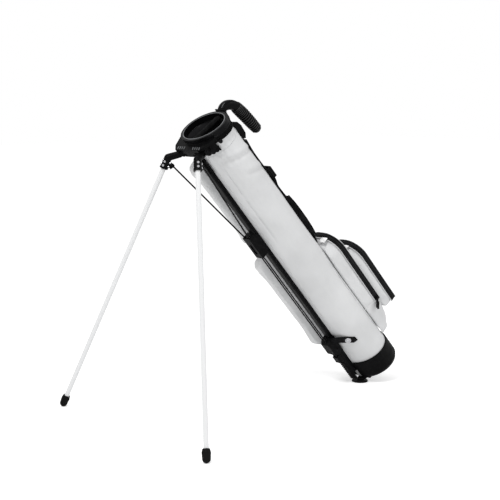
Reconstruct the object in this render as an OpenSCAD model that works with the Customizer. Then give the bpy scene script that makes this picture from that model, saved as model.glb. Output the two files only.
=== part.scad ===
// Golf stand bag, standing on its two legs and its rocker foot.
// World frame: +X from the legs towards the base, +Y towards the side pockets, +Z up, floor at Z = 0.
// Bag frame: z runs up the bag from its base, -x faces the legs, +x is the spine, y is across.

/* [Stance] */
// Lean of the bag from upright, degrees
lean = 41.9; // [38:0.1:46]
// Height of the bag frame's origin above the floor
base_height = 49.7; // [44:0.1:56]
// Shift that puts the whole object's middle at X = 0
base_x = 388.82; // [380:0.01:410]

/* [Body] */
// Height of the collar's top plane on the bag's axis
rim_s = 890; // [860:1:920]
// Half depth of the fabric body at the base
base_half_n = 62.5; // [60:0.5:64]
// Half width of the fabric body at the base
base_half_y = 64.5; // [62:0.5:66]
// Half depth of the fabric body at the collar
top_half_n = 54.5; // [52:0.5:56]
// Half width of the fabric body at the collar
top_half_y = 62; // [60:0.5:64]
// Thickness of the foam-backed fabric wall
body_wall = 3; // [2:0.5:5]
// Slope of the collar and of the base cup, degrees off square
end_tilt = 6; // [0:0.5:8]

/* [Collar] */
// Half depth of the rim, outside
rim_half_n = 58.5; // [57:0.5:62]
// Half width of the rim, outside
rim_half_y = 67; // [65:0.5:70]
// Radial thickness of the rim
rim_wall = 8.5; // [6:0.5:10]
// Height of the upper rim ring
rim_height = 15; // [12:0.5:20]
// Height of the skirt below the rim ring
skirt_height = 14; // [10:0.5:20]
// Radius of the divider bar
divider_r = 5; // [4:0.5:7]

/* [Legs] */
// Place of the leg hinge up the bag
hinge_s = 866; // [860:1:870]
// Distance of the leg hinge from the bag's axis, towards the legs
hinge_n = 66; // [64:1:68]
// Distance of the leg hinge from the middle plane
hinge_y = 40; // [38:1:42]
// Turn of the hinge axis away from straight across, degrees
hinge_yaw = 23.9; // [22:0.1:26]
// Angle between a leg and the bag when the stand is open, degrees
splay = 58.7; // [56:0.1:60]
// Leg tube radius
tube_r = 6; // [5.5:0.1:6.5]
// Radius of the rounded tip of a leg's rubber foot
tip_r = 9.5; // [8:0.5:10]

/* [Stand mechanism] */
// Hinge pin radius
pin_r = 3; // [2.5:0.1:3.2]
// Rail width
rail_w = 15; // [14:0.5:16]
// Rail height off the fabric
rail_h = 13; // [12:0.5:13.5]
// Length of the slider block
slider_len = 70; // [60:1:80]
// Place of the slider's lower end up the rail
slider_s = 522; // [500:1:530]
// Radius of the upper rods
rod_r = 2; // [1.5:0.1:2.2]
// Radius of the two push rods below the slider
push_rod_r = 1.75; // [1.5:0.05:2]
// Place of the rocker foot's hinge up the bag
foot_hinge_s = -1.5; // [-3:0.5:0]
// Distance of the rocker foot's hinge from the bag's axis
foot_hinge_n = 48; // [46:0.5:50]

/* [Pockets] */
// Top of the main ball pocket
main_top_s = 413; // [380:1:430]
// Outer face of the main ball pocket, from the bag's axis
main_out_n = 99; // [95:1:105]
// Top of the outer ball pocket
outer_top_s = 338; // [310:1:350]
// Outer face of the outer ball pocket, from the bag's axis
outer_out_n = 144; // [135:1:150]

/* [Hidden] */
$fn = 48;
slab = 0.02;
gap = 0.4;
oval_steps = 72;

// ---------- derived places ----------

body_top_s = rim_s - rim_height - gap;
rail_tilt = atan((base_half_n - top_half_n) / body_top_s);
rim_inner_n = rim_half_n - rim_wall;
rim_inner_y = rim_half_y - rim_wall;

// Socket mouth and rod lug of a leg, in its hinge frame
socket_mouth = [-60.7, 3.7, -5];
socket_len = 28;
socket_r = 9.5;
rod_lug = [-40.4, 7.4, -13];
barrel_r = 8;
barrel_half = 8;
ear_half = barrel_half + 0.4;
ear_w = 4;

// Lower ball of an upper rod, in the rail frame
ball_r = 3;
rod_ball = [-30.5, 6.5, 586];

function across_yaw(p) = [
    -hinge_n + p.x * cos(hinge_yaw) + p.y * sin(hinge_yaw),
    hinge_y - p.x * sin(hinge_yaw) + p.y * cos(hinge_yaw),
    hinge_s + p.z
];
function from_rail(p) = [
    -base_half_n + p.x * cos(rail_tilt) + p.z * sin(rail_tilt),
    p.y,
    -p.x * sin(rail_tilt) + p.z * cos(rail_tilt)
];
function floor_height(p) = base_height + p.z * cos(lean) + p.x * sin(lean);
function slope_of(v) = v.z * cos(lean) + v.x * sin(lean);

leg_dir = [-sin(splay) * cos(hinge_yaw), sin(splay) * sin(hinge_yaw), -cos(splay)];
leg_reach = (floor_height(across_yaw(socket_mouth)) - tip_r) / -slope_of(leg_dir);

// Half depth and half width of the fabric body at a height
function body_n(s) = base_half_n + (top_half_n - base_half_n) * s / body_top_s;
function body_y(s) = base_half_y + (top_half_y - base_half_y) * s / body_top_s;

// ---------- frames and shared shapes ----------

module bag_frame() {
    translate([base_x, 0, base_height]) rotate([0, -lean, 0]) children();
}

// z runs up the rail, -x away from the fabric
module rail_frame() {
    bag_frame() translate([-base_half_n, 0, 0]) rotate([0, rail_tilt, 0]) children();
}

// Frame of one leg's hinge: y along the pin, -x outwards, -z down the bag. side is 1 far, -1 near
module hinge_frame(side) {
    bag_frame() mirror([0, side < 0 ? 1 : 0, 0])
        translate([-hinge_n, hinge_y, hinge_s]) rotate([0, 0, -hinge_yaw]) children();
}

// z runs down the leg from the socket's mouth
module leg_frame(side) {
    hinge_frame(side) translate(socket_mouth) rotate([0, 180 + splay, 0]) children();
}

// World frame under the rocker foot: x and y on the floor, origin below the foot's hinge
module floor_frame() {
    translate([base_x - foot_hinge_s * sin(lean) - foot_hinge_n * cos(lean), 0, 0]) children();
}

module oval(half_n, half_y) {
    polygon([for (i = [0 : oval_steps - 1])
        let (t = 360 * i / oval_steps) [half_n * cos(t), half_y * sin(t)]]);
}

module oval_slab(half_n, half_y, s, tilt = 0) {
    translate([0, 0, s]) rotate([0, tilt, 0]) linear_extrude(slab) oval(half_n, half_y);
}

// Everything between two planes that slope as the collar does
module sloped_layer(s_low, s_high) {
    translate([0, 0, s_low]) rotate([0, end_tilt, 0])
        translate([-150, -150, 0]) cube([300, 300, (s_high - s_low) * cos(end_tilt)]);
}

module body_form(grow, s_low, s_high) {
    hull() {
        oval_slab(body_n(s_low) + grow, body_y(s_low) + grow, s_low);
        oval_slab(body_n(s_high) + grow, body_y(s_high) + grow, s_high);
    }
}

// Rectangle with true round corners; low and high are opposite corners
module round_rect(low, high, r) {
    translate([low.x + r, low.y]) square([high.x - low.x - 2 * r, high.y - low.y]);
    translate([low.x, low.y + r]) square([high.x - low.x, high.y - low.y - 2 * r]);
    for (x = [low.x + r, high.x - r], y = [low.y + r, high.y - r])
        translate([x, y]) circle(r);
}

// Extrudes an outline drawn as [-s, y] along +x, from x_low on
module on_spine(x_low, depth) {
    translate([x_low, 0, 0]) rotate([0, 90, 0]) linear_extrude(depth) children();
}

// Extrudes an outline drawn as [x, s] along y, from y_low on
module across(y_low, depth) {
    translate([0, y_low + depth, 0]) rotate([90, 0, 0]) linear_extrude(depth) children();
}

// Rod from one point to another
module bar(from, to, r) {
    v = to - from;
    translate(from) rotate([0, acos(v.z / norm(v)), atan2(v.y, v.x)])
        cylinder(r = r, h = norm(v));
}

// ---------- body and collar ----------

module bag_body() {
    color("white") bag_frame() difference() {
        body_form(0, 8, rim_s);
        body_form(-body_wall, 12, rim_s + 5);
        sloped_layer(body_top_s, rim_s + 40);
    }
}

module sloped_ring(half_n, half_y, inner_n, inner_y, s_low, s_high) {
    intersection() {
        translate([0, 0, s_low - 20]) linear_extrude(s_high - s_low + 40) difference() {
            oval(half_n, half_y);
            oval(inner_n, inner_y);
        }
        sloped_layer(s_low, s_high);
    }
}

module collar_skirt() {
    color("black") bag_frame()
        sloped_ring(top_half_n + 2.8, top_half_y + 3.4, top_half_n + 0.6, top_half_y + 0.6,
                    rim_s - rim_height - skirt_height, rim_s - rim_height - gap);
}

module collar_rim() {
    color([0.12, 0.12, 0.12]) bag_frame()
        sloped_ring(rim_half_n, rim_half_y, rim_inner_n, rim_inner_y, rim_s - rim_height, rim_s);
}

// The divider bar's axis, just below the rim's top
divider_s = rim_s - 12;
divider_half = rim_inner_n - 0.8;

module divider_bar() {
    color("dimgray") bag_frame() translate([0, 0, divider_s]) rotate([0, 90 + end_tilt, 0])
        cylinder(r = divider_r, h = 2 * divider_half, center = true);
}

divider_panel_len = 250;

module divider_panel() {
    color("black") bag_frame()
        translate([-divider_half + 2, -0.8, divider_s - divider_r - 6 - divider_panel_len])
            cube([2 * divider_half - 4, 1.6, divider_panel_len]);
}

// ---------- stand head and hinge pins ----------

head_low_s = 858;
hood_low_s = 876;
hood_top_s = 883;
head_clear_n = rim_half_n + 0.6;
head_clear_y = rim_half_y + 0.6;

module half_plane_box(n_low, s_low, s_high) {
    translate([-150, -90, s_low]) cube([150 - n_low, 180, s_high - s_low]);
}

// Flared hood over both hinges, cut from one plate
module hood_plate() {
    translate([0, 0, hood_low_s]) linear_extrude(hood_top_s - hood_low_s)
        polygon([[-30, -68], [-62, -58], [-77, -44], [-79, 0], [-77, 44], [-62, 58], [-30, 68]]);
}

module hinge_ears() {
    for (edge = [-ear_half - ear_w, ear_half]) {
        translate([0, edge, -9]) cube([34, ear_w, hood_low_s - hinge_s + 10]);
        translate([0, edge, 0]) rotate([-90, 0, 0]) cylinder(r = 9, h = ear_w);
    }
}

module stand_head() {
    color([0.1, 0.1, 0.1]) difference() {
        union() {
            bag_frame() {
                intersection() {
                    translate([0, 0, head_low_s]) linear_extrude(hood_low_s - head_low_s + 1)
                        oval(head_clear_n + 3.5, head_clear_y + 3.5);
                    half_plane_box(34, head_low_s, hood_low_s + 1);
                }
                hood_plate();
                translate([-76, -22, head_low_s + 2]) cube([20, 44, hood_low_s - head_low_s - 1]);
            }
            for (side = [-1, 1]) hinge_frame(side) hinge_ears();
        }
        bag_frame() translate([0, 0, head_low_s - 20]) linear_extrude(60)
            oval(head_clear_n, head_clear_y);
        rail_frame() translate([-20, -rail_w / 2 - gap, 800]) cube([22, rail_w + 2 * gap, 48]);
        for (side = [-1, 1]) hinge_frame(side) rotate([90, 0, 0])
            cylinder(r = pin_r + 0.03, h = 60, center = true);
    }
}

module hinge_pin(side) {
    color("silver") hinge_frame(side) rotate([90, 0, 0])
        cylinder(r = pin_r, h = 2 * (ear_half + ear_w) + 2, center = true);
}
module hinge_pin_near() { hinge_pin(-1); }
module hinge_pin_far() { hinge_pin(1); }

lug_teeth = 3;

// Toothed webbing end that ties the stand head to the near side of the body
module head_lug() {
    color("black") bag_frame() difference() {
        intersection() {
            translate([0, 0, 842]) linear_extrude(15.5) difference() {
                oval(top_half_n + 4.5, top_half_y + 4.5);
                oval(top_half_n + 1, top_half_y + 1);
            }
            translate([-52, -80, 830]) cube([22, 60, 40]);
        }
        for (i = [0 : lug_teeth - 1])
            translate([-48 + i * 7, -80, 842]) rotate([-90, 0, 0])
                cylinder(r = 2.6, h = 60, $fn = 4);
    }
}

module collar_button() {
    color("black") bag_frame() translate([-22, -62.6, 863]) rotate([0, 0, -22]) rotate([90, 0, 0])
        cylinder(r = 5, h = 4, center = true);
}

// ---------- legs ----------

module knuckle(side) {
    color([0.1, 0.1, 0.1]) difference() {
        union() {
            hinge_frame(side) {
                rotate([90, 0, 0]) cylinder(r = barrel_r, h = 2 * barrel_half, center = true);
                hull() {
                    translate([-10, 0, 0]) rotate([90, 0, 0])
                        cylinder(r = 6.5, h = 13, center = true, $fn = 32);
                    translate([-33, 3, 9]) sphere(r = 9, $fn = 32);
                }
                translate([rod_lug.x, rod_lug.y - 6, rod_lug.z]) rotate([90, 0, 0])
                    cylinder(r = 5, h = 5, center = true);
                translate([rod_lug.x - 9, rod_lug.y - 8.5, rod_lug.z - 4]) cube([12, 5, 12]);
            }
            leg_frame(side) translate([0, 0, -socket_len]) {
                cylinder(r = socket_r, h = socket_len);
                sphere(r = socket_r);
                translate([0, 0, socket_len - 4]) cylinder(r = socket_r + 1, h = 4);
            }
        }
        hinge_frame(side) rotate([90, 0, 0]) cylinder(r = pin_r + 0.06, h = 60, center = true);
        leg_frame(side) translate([0, 0, -socket_len + 4]) cylinder(r = tube_r + 0.05, h = socket_len);
        for (s = rivet_places) leg_frame(side) translate([0, 0, s]) rotate([0, 0, rivet_turn])
            rotate([90, 0, 0]) cylinder(r = rivet_r + 0.05, h = 40, center = true);
    }
}
rivet_places = [-18, -8];
rivet_r = 1.6;
rivet_turn = 45;

module knuckle_near() { knuckle(-1); }
module knuckle_far() { knuckle(1); }

tube_wall = 1;
foot_cover = 22;

module leg_tube(side) {
    color("white") leg_frame(side) difference() {
        translate([0, 0, -socket_len + 5]) cylinder(r = tube_r, h = leg_reach + socket_len - 13);
        translate([0, 0, -socket_len + 4]) cylinder(r = tube_r - tube_wall, h = leg_reach + socket_len);
        for (s = rivet_places) translate([0, 0, s]) rotate([0, 0, rivet_turn]) rotate([90, 0, 0])
            cylinder(r = rivet_r + 0.05, h = 40, center = true);
    }
}
module leg_tube_near() { leg_tube(-1); }
module leg_tube_far() { leg_tube(1); }

module leg_foot(side) {
    color([0.08, 0.08, 0.08]) leg_frame(side) difference() {
        translate([0, 0, leg_reach]) {
            sphere(r = tip_r);
            translate([0, 0, -foot_cover + 8]) cylinder(r1 = tip_r + 1, r2 = tip_r, h = foot_cover - 8);
            translate([0, 0, -foot_cover]) cylinder(r1 = tip_r - 1, r2 = tip_r + 1, h = 8);
        }
        translate([0, 0, leg_reach - foot_cover - 1]) cylinder(r = tube_r + 0.05, h = foot_cover - 6);
    }
}
module leg_foot_near() { leg_foot(-1); }
module leg_foot_far() { leg_foot(1); }

module socket_rivets(side) {
    color("silver") leg_frame(side) for (s = rivet_places) translate([0, 0, s]) rotate([0, 0, rivet_turn]) rotate([90, 0, 0]) {
        cylinder(r = rivet_r, h = 2 * socket_r, center = true);
        for (end = [-1, 1]) translate([0, 0, end * (socket_r + 1)])
            cylinder(r = rivet_r + 1.2, h = 1.6, center = true);
    }
}
module socket_rivets_near() { socket_rivets(-1); }
module socket_rivets_far() { socket_rivets(1); }

// ---------- rail, slider and rods ----------

rail_low = 40;
rail_top = 845;

module spine_rail() {
    color([0.06, 0.06, 0.06]) rail_frame() difference() {
        translate([-rail_h, -rail_w / 2, rail_low]) cube([rail_h - 0.5, rail_w, rail_top - rail_low]);
        for (edge = [-rail_w / 2 - 1, rail_w / 2 - 1.5])
            translate([-rail_h + 3.5, edge, rail_low - 1]) cube([4, 2.5, rail_top - rail_low + 2]);
    }
}

band_ribs = 7;

// Ribbed band beside the rail, below the stand head
module rail_band() {
    color("black") rail_frame() translate([-7.5, -rail_w / 2 - 5, 790]) {
        cube([5, 4, 46]);
        for (i = [0 : band_ribs - 1]) translate([-1.5, 0, 2 + i * 6]) cube([2, 4, 3]);
    }
}

slider_low_x = -rail_h - gap;
slider_high_x = -35;
slider_half = 13;

module slider_block() {
    color([0.1, 0.1, 0.1]) rail_frame() difference() {
        translate([0, 0, slider_s]) union() {
            translate([slider_high_x, -slider_half, 0])
                cube([slider_low_x - slider_high_x, 2 * slider_half, slider_len]);
            for (edge = [-slider_half, rail_w / 2 + gap])
                translate([slider_low_x, edge, 6])
                    cube([7, slider_half - rail_w / 2 - gap, slider_len - 12]);
        }
        // oval recess on the outer face
        translate([slider_high_x - 1, 0, slider_s]) rotate([0, 90, 0])
            linear_extrude(4) round_rect([-slider_len + 22, -5], [-14, 5], 4.9);
        for (y = [-rod_ball.y, rod_ball.y]) {
            translate([rod_ball.x, y, rod_ball.z]) sphere(r = ball_r + 0.1);
            translate([rod_ball.x, y, rod_ball.z]) rotate([0, 0, 0])
                cylinder(r1 = 2.8, r2 = 4.4, h = 12);
            translate([push_rod_x, sign(y) * push_rod_y, slider_s - 1])
                cylinder(r = push_rod_r + 0.05, h = 24);
        }
    }
}

push_rod_x = -27;
push_rod_y = 5;
link_top = 124;

module push_rods() {
    color([0.05, 0.05, 0.05]) rail_frame() for (y = [-push_rod_y, push_rod_y])
        translate([push_rod_x, y, link_top - 16]) cylinder(r = push_rod_r, h = slider_s + 20 - link_top + 16);
}

link_ribs = 10;
link_low = 22;

// Ribbed strut that carries the rocker foot's push up to the rods
module push_link() {
    color("black") rail_frame() difference() {
        union() {
            translate([-31, -9, link_top - 22]) cube([16, 18, 22]);
            translate([-21, -9, link_low]) cube([7, 18, link_top - link_low - 10]);
            for (i = [0 : link_ribs - 1])
                translate([-24, -9, link_low + 3 + i * 7]) cube([4, 18, 3.5]);
        }
        for (y = [-push_rod_y, push_rod_y])
            translate([push_rod_x, y, link_top - 16.05]) cylinder(r = push_rod_r + 0.05, h = 30);
    }
}

module upper_rod(side) {
    far_ball = from_rail(rod_ball);
    top = across_yaw(rod_lug);
    color([0.05, 0.05, 0.05]) bag_frame() mirror([0, side < 0 ? 1 : 0, 0]) {
        translate(far_ball) sphere(r = ball_r);
        bar(far_ball, top, rod_r);
        translate(top) sphere(r = rod_r + 0.6);
    }
}
module upper_rod_near() { upper_rod(-1); }
module upper_rod_far() { upper_rod(1); }

clip_low = 130;
clip_len = 58;

module clip_block() {
    color("black") rail_frame() difference() {
        translate([-33, -15, clip_low]) cube([30, 30, clip_len]);
        translate([-rail_h - gap, -rail_w / 2 - gap, clip_low - 1])
            cube([rail_h + 6, rail_w + 2 * gap, clip_len + 2]);
        for (y = [-push_rod_y, push_rod_y]) translate([push_rod_x, y, clip_low - 1])
            cylinder(r = push_rod_r + 0.5, h = clip_len + 2);
        // chamfered lower and upper outer edges
        for (s = [clip_low, clip_low + clip_len]) translate([-33, 0, s]) rotate([0, 45, 0])
            cube([14, 40, 14], center = true);
    }
}

module clip_screws() {
    color("silver") rail_frame() for (s = [clip_low + 16, clip_low + clip_len - 16], end = [-1, 1])
        translate([-14, end * 15.9, s]) rotate([90, 0, 0]) cylinder(r = 2.4, h = 1.6, center = true);
}

// Webbing flap that lies round the near side of the body
module leg_strap() {
    color("black") bag_frame() intersection() {
        difference() {
            body_form(3.2, 100, 230);
            body_form(0.8, 90, 240);
        }
        across(-90, 75) polygon([[-62, 186], [-62, 160], [-34, 130], [-26, 138], [-26, 152], [-44, 178]]);
    }
}

module strap_snap() {
    color("silver") bag_frame()
        translate([-50, -42.5, 160]) rotate([0, 0, -52]) rotate([90, 0, 0]) cylinder(r = 7, h = 2);
}

// ---------- base and rocker foot ----------

cup_top_s = 63;
cup_wall = 3;
cup_half_n = 66.5;
cup_half_y = 68.5;
foot_slot = 15;

module cup_outside() {
    hull() {
        oval_slab(cup_half_n, cup_half_y, cup_top_s, end_tilt);
        oval_slab(cup_half_n, cup_half_y, 7, end_tilt);
        oval_slab(cup_half_n - 4, cup_half_y - 4, -1, end_tilt);
        oval_slab(cup_half_n - 12, cup_half_y - 12, -6, end_tilt);
    }
}

module cup_ears() {
    for (edge = [-foot_slot - 5, foot_slot])
        translate([-foot_hinge_n, edge, foot_hinge_s]) rotate([-90, 0, 0]) cylinder(r = 7, h = 5);
}

module base_cup() {
    color([0.07, 0.07, 0.07]) bag_frame() difference() {
        union() {
            difference() {
                cup_outside();
                body_form(0.6, 5, 100);
            }
            intersection() {
                union() {
                    cup_ears();
                    cup_outside();
                }
                translate([-foot_hinge_n - 9, -foot_slot - 5, -20]) cube([22, 2 * foot_slot + 10, 27.6]);
            }
        }
        // slot that the rocker foot swings in
        translate([-100, -foot_slot, -30]) cube([100 - foot_hinge_n + 10, 2 * foot_slot, 37.3]);
        translate([-100, -rail_w / 2 - 3, -30]) cube([101 - base_half_n, rail_w + 6, 120]);
        translate([-100, -foot_slot, -30]) cube([100 - base_half_n - 0.6, 2 * foot_slot, 45]);
        translate([-foot_hinge_n, 0, foot_hinge_s]) rotate([90, 0, 0])
            cylinder(r = pin_r + 0.03, h = 60, center = true);
    }
}

module base_bumpers() {
    color([0.1, 0.1, 0.1]) bag_frame() rotate([0, end_tilt, 0])
        for (p = [[38, -26], [38, 26], [-4, -40], [-4, 40]])
            translate([p.x, p.y, -9.3]) cylinder(r = 8, h = 3);
}

module foot_pin() {
    color("silver") bag_frame() translate([-foot_hinge_n, 0, foot_hinge_s]) rotate([90, 0, 0])
        cylinder(r = pin_r, h = 2 * foot_slot + 8, center = true);
}

pad_r = 22;
pad_h = 4;
pad_x = -19.8;

module rocker_foot() {
    color([0.08, 0.08, 0.08]) difference() {
        hull() {
            bag_frame() translate([-foot_hinge_n, 0, foot_hinge_s]) rotate([90, 0, 0])
                cylinder(r = 5, h = 2 * foot_slot - 2, center = true, $fn = 32);
            floor_frame() translate([pad_x + 3, 0, pad_h + gap]) cylinder(r = 10, h = 3, $fn = 32);
        }
        bag_frame() translate([-foot_hinge_n, 0, foot_hinge_s]) rotate([90, 0, 0])
            cylinder(r = pin_r + 0.06, h = 60, center = true);
    }
}

module rocker_pad() {
    color([0.15, 0.15, 0.15]) floor_frame() translate([pad_x, 0, 0]) cylinder(r = pad_r, h = pad_h);
}

// ---------- handle and shoulder strap ----------

module handle_arm() {
    color([0.1, 0.1, 0.1]) bag_frame() difference() {
        union() {
            across(-11, 22) polygon([[59.5, 862], [66, 862], [66, 872], [84, 872], [91, 866],
                [91, 850], [103, 850], [110, 864], [104, 876], [96, 886], [68, 894], [59.5, 886]]);
            across(-17, 34) polygon([[59.5, 862], [63, 862], [63, 886], [59.5, 886]]);
        }
        for (y = [-14.1, 14.1]) translate([50, y, 874]) rotate([0, 90, 0]) cylinder(r = 1.8, h = 30);
    }
}

module handle_grip() {
    color([0.06, 0.06, 0.06]) bag_frame() difference() {
        hull() {
            translate([105, 0, 846]) sphere(r = 13.5, $fn = 32);
            translate([112, 0, 815]) sphere(r = 15.5, $fn = 32);
            translate([116, 0, 772]) sphere(r = 14, $fn = 32);
        }
        across(-11.4, 22.8) polygon([[80, 849.6], [110, 849.6], [118, 864], [110, 900], [80, 900]]);
    }
}

module handle_screws() {
    color("silver") bag_frame() for (y = [-14.1, 14.1]) translate([59.7, y, 874]) rotate([0, 90, 0]) {
        cylinder(r = 1.75, h = 4);
        translate([0, 0, 3.4]) cylinder(r = 2.8, h = 1.6);
    }
}

module strap_hub() {
    color([0.1, 0.1, 0.1]) bag_frame() across(-19, 38)
        polygon([[57.6, 838], [62, 844], [71, 838], [75, 824], [73, 800], [65, 790], [57.6, 794]]);
}

strap_line = [[61, 788.5], [60, 752], [63, 694], [64, 660], [62, 626], [61.5, 596]];
strap_half = 19;
strap_t = 2.4;

module shoulder_strap() {
    color("black") bag_frame() across(-strap_half, 2 * strap_half)
        polygon(concat(strap_line, [for (i = [len(strap_line) - 1 : -1 : 0]) strap_line[i] + [strap_t, 0]]));
}

module shoulder_pad() {
    color("black") bag_frame() across(-28, 56)
        polygon([[60.2, 595], [68, 592], [73, 560], [75, 510], [73, 470], [69, 446], [61, 446], [60.5, 520]]);
}

module strap_buckle() {
    color([0.12, 0.12, 0.12]) bag_frame() difference() {
        translate([60, -23, 654]) cube([14, 46, 32]);
        across(-20, 40) polygon([[50, 640], [50, 700], [70, 700], [70, 640]]);
        translate([60, -16, 662]) cube([40, 32, 5]);
        translate([60, -16, 673]) cube([40, 32, 5]);
    }
}

module strap_anchor() {
    color("black") bag_frame() translate([60, -17, 420]) cube([6, 34, 25]);
}

// ---------- ball pockets on the spine ----------

main_low_s = 66;
outer_low_s = 118;
main_half = 53;
outer_half = 50;
top_corner = 44;

module pocket_outline(s_low, s_high, half, grow = 0) {
    r = top_corner + grow;
    low = [-s_high - grow, -half - grow];
    high = [-s_low + grow, half + grow];
    translate([low.x + r, low.y]) square([high.x - low.x - r, high.y - low.y]);
    translate([low.x, low.y + r]) square([high.x - low.x, high.y - low.y - 2 * r]);
    for (y = [low.y + r, high.y - r]) translate([low.x + r, y]) circle(r);
}

module pocket_main() {
    color("white") bag_frame() difference() {
        on_spine(20, main_out_n - 20) pocket_outline(main_low_s, main_top_s, main_half);
        body_form(0.5, 0, 500);
        // the lower end tapers in to the base cup
        across(-80, 160) polygon([[69, 50], [69, 68], [93, 112], [99, 150], [130, 150], [130, 50]]);
        translate([0, -80, 40]) cube([70, 160, 32]);
    }
}

module pocket_outer() {
    color("white") bag_frame() difference() {
        on_spine(main_out_n + gap, outer_out_n - main_out_n - gap)
            pocket_outline(outer_low_s, outer_top_s, outer_half);
        across(-80, 160) polygon([[90, 100], [160, 100], [160, 118], [139, 118], [112, 112], [90, 130]]);
    }
}

band_w = 15;

module zip_tape(x_low, s_low, s_high, half) {
    on_spine(x_low, band_w) difference() {
        pocket_outline(s_low, s_high, half, 1.8);
        pocket_outline(s_low - 5, s_high, half, 0.4);
    }
}

module zip_tape_main() {
    color("black") bag_frame() zip_tape(main_out_n - band_w - 0.5, 170, main_top_s, main_half);
}

module zip_tape_outer() {
    color("black") bag_frame() zip_tape(outer_out_n - band_w - 0.5, 124, outer_top_s, outer_half);
}

main_zip = [main_out_n - 8, -main_half - 2.3, 178];
outer_zip = [outer_out_n - 8, outer_half + 2.3, 132];

stud_r = 1.5;

// Local y points out of the zip band; side is -1 on the near side of the bag and 1 on the far side
module zip_place(place, side) {
    translate(place) mirror([0, side < 0 ? 1 : 0, 0]) children();
}

module zip_slider(place, side) {
    zip_place(place, side) {
        translate([-4.5, 0, -6]) cube([9, 3, 12]);
        translate([0, 2.5, 0]) rotate([-90, 0, 0]) cylinder(r = stud_r, h = 4.5);
        translate([0, 6.2, 0]) rotate([-90, 0, 0]) cylinder(r = 2.6, h = 1);
    }
}

module zip_slider_main() { color([0.1, 0.1, 0.1]) bag_frame() zip_slider(main_zip, -1); }
module zip_slider_outer() { color([0.1, 0.1, 0.1]) bag_frame() zip_slider(outer_zip, 1); }

// Two-tailed pull that hangs straight down from the slider's stud
module zip_pull(place, side) {
    zip_place(place, side) rotate([0, lean, 0]) difference() {
        union() {
            translate([0, 3.4, 0]) rotate([-90, 0, 0]) cylinder(r = 3.6, h = 2.3);
            translate([-2.5, 3.4, -12]) cube([5, 2.3, 12]);
            translate([-4.5, 3.4, -28]) cube([4, 3.6, 17]);
            translate([0.5, 3.4, -32]) cube([4, 3.6, 21]);
        }
        rotate([-90, 0, 0]) cylinder(r = stud_r + 0.06, h = 10);
    }
}

module zip_pull_main() { color("black") bag_frame() zip_pull(main_zip, -1); }
module zip_pull_outer() { color("black") bag_frame() zip_pull(outer_zip, 1); }

module zip_tags() {
    color("white") bag_frame() {
        translate([67, -34, main_top_s + 2.2]) cube([16, 20, 1.6]);
        translate([112, -30, outer_top_s + 2.2]) cube([14, 18, 1.6]);
    }
}

// ---------- pockets on the far side ----------

module side_pocket(low, high, corner, y_high) {
    difference() {
        across(30, y_high - 30) round_rect(low, high, corner);
        body_form(0.5, 0, 860);
        translate([-100, 0, 0]) cube([140 - 105, 65.5, 860]);
        translate([-78, 30, 0]) cube([60, 31, 860]);
    }
}

module side_pocket_upper() {
    color("white") bag_frame() side_pocket([-64, 512], [26, 806], 24, 92);
}

module side_pocket_lower() {
    color("white") bag_frame() side_pocket([-79, 124], [30, 470], 24, 97);
}

module side_zip_tapes() {
    color("black") bag_frame() {
        translate([-4, 92.4, 540]) cube([13, 1.6, 240]);
        translate([-6, 97.4, 160]) cube([13, 1.6, 280]);
    }
}

bag_body();
collar_skirt();
collar_rim();
divider_bar();
divider_panel();
stand_head();
head_lug();
collar_button();
hinge_pin_near();
hinge_pin_far();
knuckle_near();
leg_tube_near();
leg_foot_near();
socket_rivets_near();
knuckle_far();
leg_tube_far();
leg_foot_far();
socket_rivets_far();
spine_rail();
rail_band();
slider_block();
push_rods();
push_link();
upper_rod_near();
upper_rod_far();
clip_block();
clip_screws();
leg_strap();
strap_snap();
base_cup();
base_bumpers();
foot_pin();
rocker_foot();
rocker_pad();
handle_arm();
handle_grip();
handle_screws();
strap_hub();
shoulder_strap();
shoulder_pad();
strap_buckle();
strap_anchor();
pocket_main();
zip_tape_main();
zip_slider_main();
zip_pull_main();
pocket_outer();
zip_tape_outer();
zip_slider_outer();
zip_pull_outer();
zip_tags();
side_pocket_upper();
side_pocket_lower();
side_zip_tapes();
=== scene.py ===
import math

import bmesh
import bpy
from mathutils import Matrix, Vector, noise


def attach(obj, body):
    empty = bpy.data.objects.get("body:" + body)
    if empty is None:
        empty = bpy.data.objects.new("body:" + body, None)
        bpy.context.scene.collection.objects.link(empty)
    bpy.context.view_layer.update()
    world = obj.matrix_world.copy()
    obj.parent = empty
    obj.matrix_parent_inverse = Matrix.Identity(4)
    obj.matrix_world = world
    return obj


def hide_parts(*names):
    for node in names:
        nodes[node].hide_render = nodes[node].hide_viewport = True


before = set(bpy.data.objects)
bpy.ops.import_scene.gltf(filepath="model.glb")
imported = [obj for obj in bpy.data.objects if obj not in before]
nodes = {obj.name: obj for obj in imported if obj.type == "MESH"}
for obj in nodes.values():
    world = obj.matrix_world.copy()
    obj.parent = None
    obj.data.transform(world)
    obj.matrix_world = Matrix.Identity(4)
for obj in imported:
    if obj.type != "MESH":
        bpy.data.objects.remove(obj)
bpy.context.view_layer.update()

scene = bpy.context.scene

# ---------- the bag frame: x away from the legs, y across, z up the bag, in millimetres ----------
LEAN = math.radians(41.9)
BASE_X, BASE_Z = 388.82, 49.7
TOP_S = 874.6
TILT = math.radians(6)


def bag(x, y, z):
    """A bag frame point in the row frame, in metres."""
    wx = BASE_X + x * math.cos(LEAN) - z * math.sin(LEAN)
    wz = BASE_Z + x * math.sin(LEAN) + z * math.cos(LEAN)
    return Vector((wx / 1000, y / 1000, wz / 1000))


def body_n(s):
    return 62.5 - 8 * s / TOP_S


def body_y(s):
    return 64.5 - 2.5 * s / TOP_S


def bump_at(value, centre, width):
    return math.exp(-((value - centre) / width) ** 2)


def ease(value, low, high):
    t = min(1, max(0, (value - low) / (high - low)))
    return t * t * (3 - 2 * t)


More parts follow.
